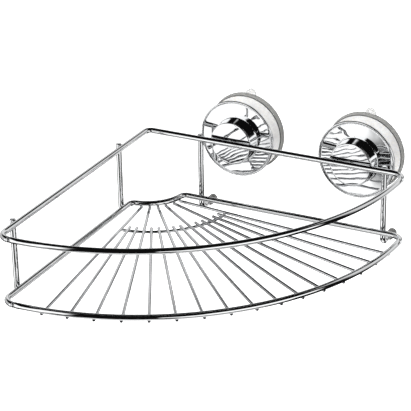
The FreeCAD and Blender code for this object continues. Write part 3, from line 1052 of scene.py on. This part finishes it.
@dataclass
class TwistLockCup:
    """One suction cup; levels are distances from the wall and radii are about its axis."""

    wardrobe: Wardrobe
    side: str
    tab_angle: float = 83.4
    # pad
    lip_foot_radius: float = 0.0355
    lip_top_radius: float = 0.0338
    lip_inner_radius: float = 0.0275
    lip_height: float = 0.0048
    web_low: float = 0.0014
    web_high: float = 0.003
    web_thickness: float = 0.0015
    hub_radius: float = 0.0125
    hub_top: float = 0.008
    rib_count: int = 190
    rib_depth: float = 0.00016
    tab_half_width: float = 0.0046
    tab_reach: float = 0.0404
    tab_low: float = 0.0004
    tab_thickness: float = 0.0016
    tab_rim: float = 0.0008
    tab_overlap: float = 0.0012
    # housing
    housing_foot_radius: float = 0.0334
    housing_top_radius: float = 0.0326
    housing_foot: float = 0.0051
    housing_top: float = 0.0182
    housing_wall: float = 0.0018
    housing_round: float = 0.0012
    collar_radius: float = 0.010
    collar_low: float = 0.0118
    guide_radius: float = 0.0058
    # dial
    dial_radius: float = 0.0345
    lip_width: float = 0.0018
    brim_edge: float = 0.02105
    brim_root: float = 0.02195
    brim_plate: float = 0.0013
    boss_root_radius: float = 0.0197
    boss_face_radius: float = 0.0191
    boss_face: float = 0.0341
    boss_crown: float = 0.0346
    boss_round: float = 0.0009
    boss_wall: float = 0.0018
    dial_hub_radius: float = 0.0096
    dial_hub_end: float = 0.0192
    nut_radius: float = 0.0074
    nut_top: float = 0.0286
    stud_hole_radius: float = 0.0054
    pin_hole_radius: float = 0.0026
    # rounds
    fine_round: float = 0.0002
    edge_round: float = 0.0003
    rim_round: float = 0.0004
    inner_round: float = 0.0005
    web_round: float = 0.001

    def place(self) -> Matrix:
        """Where the cup is and which way it is turned.

        Returns:
            The matrix from the cup's own axes, Z to the room and X to the tab, to the frame.
        """
        low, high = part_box(f"{self.side}_twist_dial")
        t = math.radians(self.tab_angle)
        across = Vector((math.cos(t), 0, math.sin(t)))
        room = Vector((0, -1, 0))
        turn = Matrix((across, room.cross(across), room)).transposed().to_4x4()
        return Matrix.Translation(((low.x + high.x) / 2, 0, (low.z + high.z) / 2)) @ turn

    def settle(self, piece: bpy.types.Object, node: str, body: str, coat: Coat) -> None:
        """Dresses a piece and lets it stand for its node on one of the cup's bodies.

        Args:
            piece: the new piece.
            node: the CAD node that it replaces, without the side.
            body: the body that it rides on, without the side.
            coat: its finish.
        """
        even_normals(piece)
        self.wardrobe.dress(piece, coat)
        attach(piece, f"{self.side}_{body}")
        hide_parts(f"{self.side}_{node}")
        log.info("%s: %d faces", piece.name, len(piece.data.polygons))

    def make_dial(self) -> None:
        """The plated dial: thin sloping brim, rolled lip, hollow boss and the hub inside it."""
        lip_inside = self.dial_radius - self.lip_width
        bead_radius = self.lip_width / 2
        bead_centre = (self.dial_radius - bead_radius, self.brim_edge)
        face_inside = self.boss_face - self.boss_wall
        brim_below = self.brim_plate
        face: list[tuple[float, float, float]] = []
        brim: list[tuple[float, float, float]] = []
        for i in range(10):
            r = self.pin_hole_radius + (self.boss_face_radius - self.pin_hole_radius) * i / 10
            drop = (self.boss_crown - self.boss_face) * (r / self.boss_face_radius) ** 2
            face.append((r, self.boss_crown - drop, 0.0))
        for i in range(1, 10):
            r = self.boss_root_radius + (lip_inside - self.boss_root_radius) * i / 10
            brim.append((r, self.brim_root + (self.brim_edge - self.brim_root) * i / 10, 0.0))
        lip = [(r, z, 0.0) for r, z in arc_points(bead_centre, bead_radius, 160, 0, 10)]
        corners = face + [
            (self.boss_face_radius, self.boss_face, self.boss_round),
            (self.boss_root_radius, self.brim_root, self.inner_round),
        ] + brim + [(lip_inside, self.brim_edge, 0.0)] + lip + [
            (self.dial_radius, self.brim_edge - brim_below, self.rim_round),
            (self.boss_root_radius, self.brim_root - brim_below, 0.0),
            (self.boss_root_radius - self.boss_wall, self.brim_root - brim_below, self.edge_round),
            (self.boss_face_radius - self.boss_wall, face_inside, self.inner_round),
            (self.dial_hub_radius, face_inside, self.inner_round),
            (self.dial_hub_radius, self.dial_hub_end, self.fine_round),
            (self.nut_radius, self.dial_hub_end, self.fine_round),
            (self.nut_radius, self.nut_top, 0.0),
            (self.stud_hole_radius, self.nut_top, 0.0),
            (self.stud_hole_radius, face_inside, 0.0),
            (self.pin_hole_radius, face_inside, 0.0),
        ]
        outline = rounded_corners(corners, closed=True)
        piece = lathe(f"{self.side}_dial_shell", outline, self.place(), 256)
        self.settle(piece, "twist_dial", "dial", Coat.DIAL)

    def make_housing(self) -> None:
        """The frosted bell between the dial and the pad."""
        foot_inside = self.housing_foot_radius - self.housing_wall
        top_inside = self.housing_top_radius - self.housing_wall
        ceiling = self.housing_top - self.housing_wall
        outline = rounded_corners([
            (self.guide_radius, self.housing_top, self.fine_round),
            (self.housing_top_radius, self.housing_top, self.housing_round),
            (self.housing_foot_radius, self.housing_foot, self.edge_round),
            (foot_inside, self.housing_foot, self.edge_round),
            (top_inside, ceiling, self.housing_round / 2),
            (self.collar_radius, ceiling, self.edge_round),
            (self.collar_radius, self.collar_low, self.edge_round),
            (self.guide_radius, self.collar_low, self.edge_round),
        ], closed=True)
        piece = lathe(f"{self.side}_housing_bell", outline, self.place())
        self.settle(piece, "cup_housing", "cup", Coat.HOUSING)

    def rib(self, angle: float, radius: float, level: float) -> float:
        """The fine ribs round the pad's outer edge.

        Args:
            angle: the angle round the cup's axis, in radians.
            radius: the distance from the axis.
            level: the distance from the wall.

        Returns:
            How far the surface moves out; less than 0 in the grooves.
        """
        outside = radius > self.lip_top_radius - self.fine_round
        on_flank = 2 * self.edge_round < level < self.lip_height - self.rim_round
        if not (outside and on_flank):
            return 0.0
        return -self.rib_depth * (1 - abs(math.cos(angle * self.rib_count / 2)))

    def make_pad(self) -> None:
        """The clear pad with its ribbed lip, thin web, hub and peeling tab."""
        flank: list[tuple[float, float, float]] = []
        for i in range(9):
            radius = self.lip_foot_radius + (self.lip_top_radius - self.lip_foot_radius) * i / 8
            flank.append((radius, self.lip_height * i / 8, self.rim_round if i in (0, 8) else 0.0))
        outline = rounded_corners([
            (0.0, self.web_high, 0.0),
            (self.hub_radius, self.web_high, self.web_round),
            (self.lip_inner_radius, self.web_low, self.web_round),
            (self.lip_inner_radius + self.web_low, 0.0, self.edge_round),
        ] + flank + [
            (self.lip_inner_radius + self.web_thickness, self.lip_height, self.rim_round),
            (self.lip_inner_radius, self.web_low + self.web_thickness, self.web_round),
            (self.hub_radius, self.web_high + self.web_thickness, self.web_round),
            (self.hub_radius, self.hub_top, self.inner_round),
            (0.0, self.hub_top, 0.0),
        ], closed=False)
        piece = lathe(f"{self.side}_pad_disc", outline, self.place(), self.rib_count * 4, self.rib)
        tab = self.make_tab()
        tab.parent = piece
        self.settle(piece, "suction_pad", "pad", Coat.PAD)

    def make_tab(self) -> bpy.types.Object:
        """The rounded tab for peeling the pad off, with a raised rim.

        Returns:
            The tab, which is to ride as the pad's child.
        """
        half = self.tab_half_width
        tip = self.tab_reach - half
        root = self.lip_foot_radius - self.tab_overlap

        def ring(inset: float, level: float) -> list[Vector]:
            """The tab's outline at one level.

            Args:
                inset: how far the outline is moved in.
                level: the distance from the wall.

            Returns:
                The outline's points in the cup's own axes.
            """
            width = half - inset
            round_end = arc_points((tip, 0), width, -90, 90, 7.5)
            flat = [(root, -width)] + round_end + [(root, width)]
            return [Vector((x, y, level)) for x, y in flat]

        low, high = self.tab_low, self.tab_low + self.tab_thickness
        # from the wall side, up the rounded flank, over the rim and down inside it
        layers = [
            ring(0.00025, low), ring(0.00005, low + 0.0002), ring(0.0, low + 0.0005),
            ring(0.0, high - 0.0003), ring(0.0001, high - 0.0001), ring(0.0003, high),
            ring(self.tab_rim, high), ring(self.tab_rim + 0.0002, high - 0.0005),
        ]
        mesh = bpy.data.meshes.new(f"{self.side}_peel_tab")
        build = bmesh.new()
        place = self.place()
        loops = [[build.verts.new(place @ spot) for spot in layer] for layer in layers]
        for first, second in zip(loops, loops[1:]):
            for j in range(len(first)):
                k = (j + 1) % len(first)
                build.faces.new((first[j], first[k], second[k], second[j]))
        build.faces.new(loops[0][::-1])
        build.faces.new(loops[-1])
        bmesh.ops.recalc_face_normals(build, faces=build.faces)
        build.to_mesh(mesh)
        build.free()
        piece = new_object(f"{self.side}_peel_tab", mesh)
        even_normals(piece)
        self.wardrobe.dress(piece, Coat.TAB)
        return piece

    def build(self) -> None:
        """Makes the cup's visible shells and dresses what lies inside them."""
        self.make_pad()
        self.make_housing()
        self.make_dial()
        inside = {"pad_stud": Coat.STUD, "thrust_washer": Coat.WASHER, "lock_nut": Coat.NUT}
        for node, coat in inside.items():
            self.wardrobe.dress(frame["nodes"][f"{self.side}_{node}"], coat)


# ------------------------------------------------------------------ studio


@dataclass(frozen=True)
class Glow:
    """A soft-edged patch of light on the studio's dome, in degrees about the object.

    Azimuth 0 is straight in front of the wall and grows to the right, and height is above
    level. The edge is how far the light fades to each side of a limit. A mirrored patch is
    there on both sides of the wall's normal. Limits past the dome's end leave that end hard.
    """

    left: float
    right: float
    low: float
    high: float
    level: float
    edge: float = 3.0
    mirrored: bool = False


@dataclass(frozen=True)
class Lamp:
    """A large soft lamp: where it hangs, its diameter in metres and its power in watts."""

    name: str
    spot: tuple[float, float, float]
    size: float
    power: float


@dataclass
class Studio:
    """The pale floor, the dome of soft boxes that the chrome mirrors, and the camera.

    The camera's place is its azimuth and height about the point it looks at, in degrees.
    """

    floor_drop: float = 0.30
    floor_size: float = 60.0
    floor_glow: float = 0.8
    azimuth: float = 27.36
    height: float = 24.56
    roll: float = -1.10
    distance: float = 1.44
    focal: float = 154.2
    look_at: Vector = field(default_factory=lambda: Vector((-0.0355, -0.1216, -0.0179)))
    gloom: float = 0.005
    lamps: tuple[Lamp, ...] = (
        Lamp("Overhead_lamp", (0.0, -0.3, 2.6), 3.0, 90.0),
        Lamp("Front_lamp", (-0.9, -2.2, 0.9), 1.6, 22.0),
    )
    glows: tuple[Glow, ...] = (
        # left soft box, the raised part of it, and the grey wall beside it
        Glow(-58, -6, -14, 20, 1.3),
        Glow(-23, -8, 14, 40, 1.25),
        Glow(-135, -55, -14, 26, 0.6, 5.0),
        # reflectors below the left soft box
        Glow(-98, -62, -35, -10, 0.3),
        Glow(-64, -16, -34, -10, 1.3),
        # right soft box in two overlapping parts, and the reflector below it
        Glow(30, 60, -14, 6, 1.3, 1.5),
        Glow(48, 97, -14, 16, 1.3),
        Glow(38, 86, -33, -10, 1.1, 2.0),
        # pale wall at the right
        Glow(114, 150, -8, 50, 0.75, 6.0),
        # pale wall behind, with a dim strip across it
        Glow(130, 400, 9, 34, 0.8, 4.0, mirrored=True),
        Glow(130, 400, -18, 9, 0.16, 4.0, mirrored=True),
        Glow(140, 400, -38, -16, 0.85, 4.0, mirrored=True),
        # pale floor right below, its edge, and a card lying in front
        Glow(-200, 200, -200, -68, 1.1),
        Glow(-110, 115, -70, -61, 1.1),
        Glow(-9, 30, -54, -44, 1.1),
    )

    def make_floor(self) -> None:
        """A plain pale floor well below the caddy."""
        low = CAD_BOX[0][2] - self.floor_drop
        half = self.floor_size / 2
        mesh = bpy.data.meshes.new("Studio_floor")
        corners = [(-half, -half, low), (half, -half, low), (half, half, low), (-half, half, low)]
        mesh.from_pydata(corners, [], [(0, 1, 2, 3)])
        material = bpy.data.materials.new("Pale studio paper")
        material.use_nodes = True
        shader = material.node_tree.nodes["Principled BSDF"]
        shader.inputs["Base Color"].default_value = srgb("F6F6F6")
        shader.inputs["Roughness"].default_value = 0.9
        shader.inputs["Emission Color"].default_value = srgb("FFFFFF")
        shader.inputs["Emission Strength"].default_value = self.floor_glow
        mesh.materials.append(material)
        floor = bpy.data.objects.new("Studio_floor", mesh)
        floor.visible_glossy = False
        bpy.context.scene.collection.objects.link(floor)

    def add_glow(
        self,
        tree: bpy.types.NodeTree,
        glow: Glow,
        across: bpy.types.NodeSocket,
        height: bpy.types.NodeSocket,
    ) -> bpy.types.NodeSocket:
        """Adds the nodes of one patch of light.

        Args:
            tree: the dome's node tree.
            glow: the patch.
            across: the azimuth of the ray, without its sign for a mirrored patch.
            height: the height of the ray.

        Returns:
            The patch's strength along the ray.
        """
        walls = (
            (across, glow.left, 1), (across, glow.right, -1),
            (height, glow.low, 1), (height, glow.high, -1),
        )
        part: bpy.types.NodeSocket | None = None
        for source, limit, way in walls:
            ramp = add_node(
                tree, "ShaderNodeMapRange", {"Value": source},
                {"From Min": math.radians(limit - way * glow.edge),
                 "From Max": math.radians(limit + way * glow.edge)},
                interpolation_type="SMOOTHSTEP",
            ).outputs["Result"]
            factors = {0: ramp} if part is None else {0: part, 1: ramp}
            level = {1: glow.level} if part is None else {}
            part = add_node(
                tree, "ShaderNodeMath", factors, level, operation="MULTIPLY").outputs[0]
        return part

    def make_dome(self) -> None:
        """A dark studio with soft boxes at both sides and a bright wall behind.

        Mirrors see the patches of light; the camera itself sees plain white.
        """
        world = bpy.data.worlds.new("Studio dome")
        bpy.context.scene.world = world
        world.use_nodes = True
        tree = world.node_tree
        tree.nodes.clear()
        output = add_node(tree, "ShaderNodeOutputWorld")
        look = add_node(tree, "ShaderNodeTexCoord").outputs["Generated"]
        axes = add_node(tree, "ShaderNodeSeparateXYZ", {0: look}).outputs
        front = add_node(tree, "ShaderNodeMath", {0: axes["Y"]}, {1: -1.0}, operation="MULTIPLY")
        azimuth = add_node(
            tree, "ShaderNodeMath", {0: axes["X"], 1: front.outputs[0]}, operation="ARCTAN2")
        wide = add_node(tree, "ShaderNodeMath", {0: azimuth.outputs[0]}, operation="ABSOLUTE")
        height = add_node(tree, "ShaderNodeMath", {0: axes["Z"]}, operation="ARCSINE")
        total: bpy.types.NodeSocket | None = None
        for glow in self.glows:
            across = wide if glow.mirrored else azimuth
            part = self.add_glow(tree, glow, across.outputs[0], height.outputs[0])
            brighter = {0: part} if total is None else {0: total, 1: part}
            floor_level = {1: self.gloom} if total is None else {}
            total = add_node(
                tree, "ShaderNodeMath", brighter, floor_level, operation="MAXIMUM").outputs[0]
        seen = add_node(tree, "ShaderNodeLightPath").outputs["Is Camera Ray"]
        strength = add_node(
            tree, "ShaderNodeMix", {0: seen, 2: total}, {3: 1.0}, data_type="FLOAT")
        back = add_node(
            tree, "ShaderNodeBackground", {"Strength": strength.outputs[0]},
            {"Color": (1.0, 1.0, 1.0, 1.0)})
        tree.links.new(back.outputs[0], output.inputs["Surface"])

    def make_light(self, lamp: Lamp) -> None:
        """Hangs a lamp that lights the plastics and the floor but not the mirrors.

        Args:
            lamp: the lamp, which is turned to where the camera looks.
        """
        data = bpy.data.lights.new(lamp.name, "AREA")
        data.shape = "DISK"
        data.size = lamp.size
        data.energy = lamp.power
        spot = Vector(lamp.spot)
        light = bpy.data.objects.new(lamp.name, data)
        light.location = spot
        light.rotation_euler = (self.look_at - spot).to_track_quat("-Z", "Y").to_euler()
        light.visible_glossy = False
        light.visible_camera = False
        bpy.context.scene.collection.objects.link(light)

    def make_camera(self) -> None:
        """The camera, set by its angle about the caddy."""
        a, e, r = (math.radians(v) for v in (self.azimuth, self.height, self.roll))
        back = Vector((math.sin(a) * math.cos(e), -math.cos(a) * math.cos(e), math.sin(e)))
        right = Vector((math.cos(a), math.sin(a), 0))
        up = back.cross(right)
        tilted_right = right * math.cos(r) + up * math.sin(r)
        tilted_up = up * math.cos(r) - right * math.sin(r)
        turn = Matrix((tilted_right, tilted_up, back)).transposed().to_4x4()
        data = bpy.data.cameras.new("Camera")
        data.lens = self.focal
        data.sensor_width = 36.0
        data.clip_end = 100.0
        camera = bpy.data.objects.new("Camera", data)
        camera.matrix_world = Matrix.Translation(self.look_at + back * self.distance) @ turn
        bpy.context.scene.collection.objects.link(camera)
        bpy.context.scene.camera = camera

    def build(self) -> None:
        """Makes the floor, the dome, the lamps and the camera."""
        self.make_floor()
        self.make_dome()
        for lamp in self.lamps:
            self.make_light(lamp)
        self.make_camera()
        bpy.context.scene.view_settings.view_transform = "Standard"


def main() -> None:
    """Builds the basket, the cups and the studio, and reports each piece."""
    logging.basicConfig(level=logging.INFO, format="%(name)s: %(message)s")
    wardrobe = Wardrobe()
    WireBasket(wardrobe).build()
    for side in ("left", "right"):
        TwistLockCup(wardrobe, side).build()
    Studio().build()


if __name__ == "__main__":
    main()
